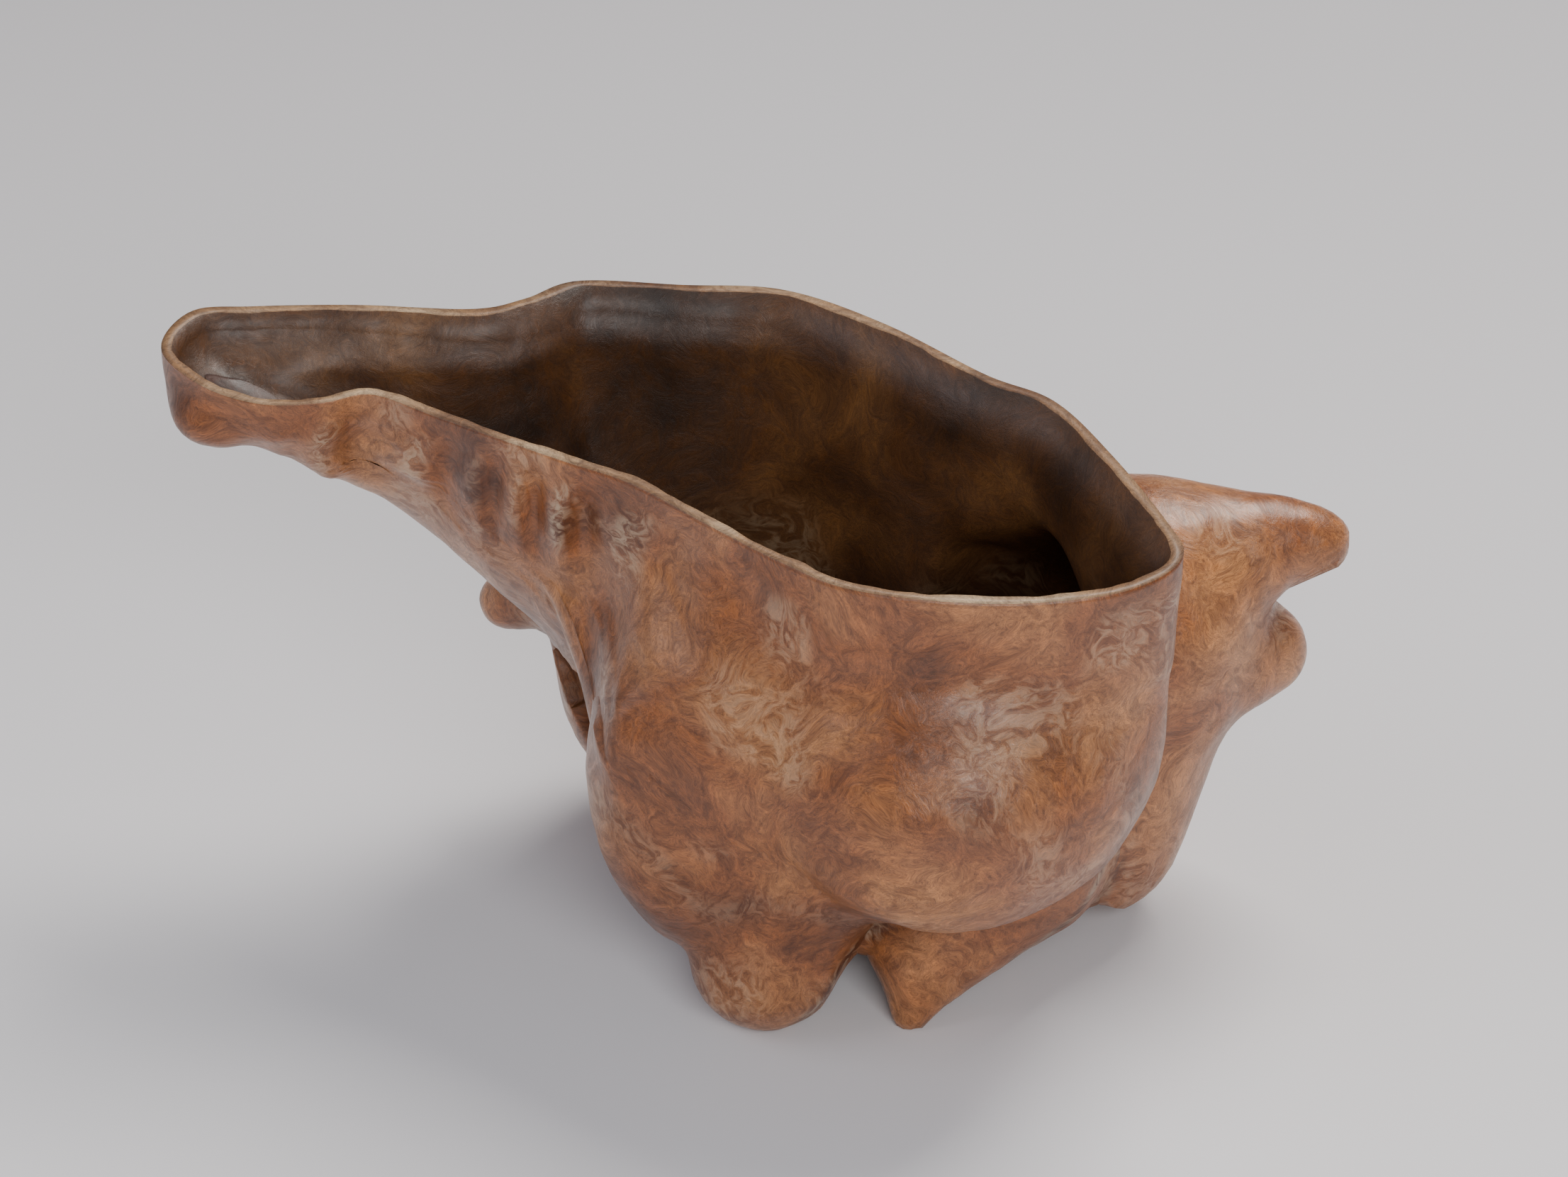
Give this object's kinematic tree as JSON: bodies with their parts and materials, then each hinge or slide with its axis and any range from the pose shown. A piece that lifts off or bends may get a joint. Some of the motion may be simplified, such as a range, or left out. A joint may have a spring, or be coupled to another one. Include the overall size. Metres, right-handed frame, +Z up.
{
  "type": "brush washer",
  "caption": "Hollowed burl wood vessel with a long open trough spout, lobed underside with ground feet and a horned growth at one side.",
  "frame": {"origin": "centre of the bounding box in plan, on the plane that the feet stand on", "axes": "+X away from the spout's tip towards the horned growth, +Y towards the back, +Z up"},
  "size_m": [0.249, 0.1324, 0.1211],
  "materials": {
    "burl": "hand-rubbed satin burl wood",
    "knot": "darker encased knot, satin"
  },
  "bodies": {
    "root": {"burl_body": "burl", "spout_knot": "knot"}
  },
  "joints": []
}
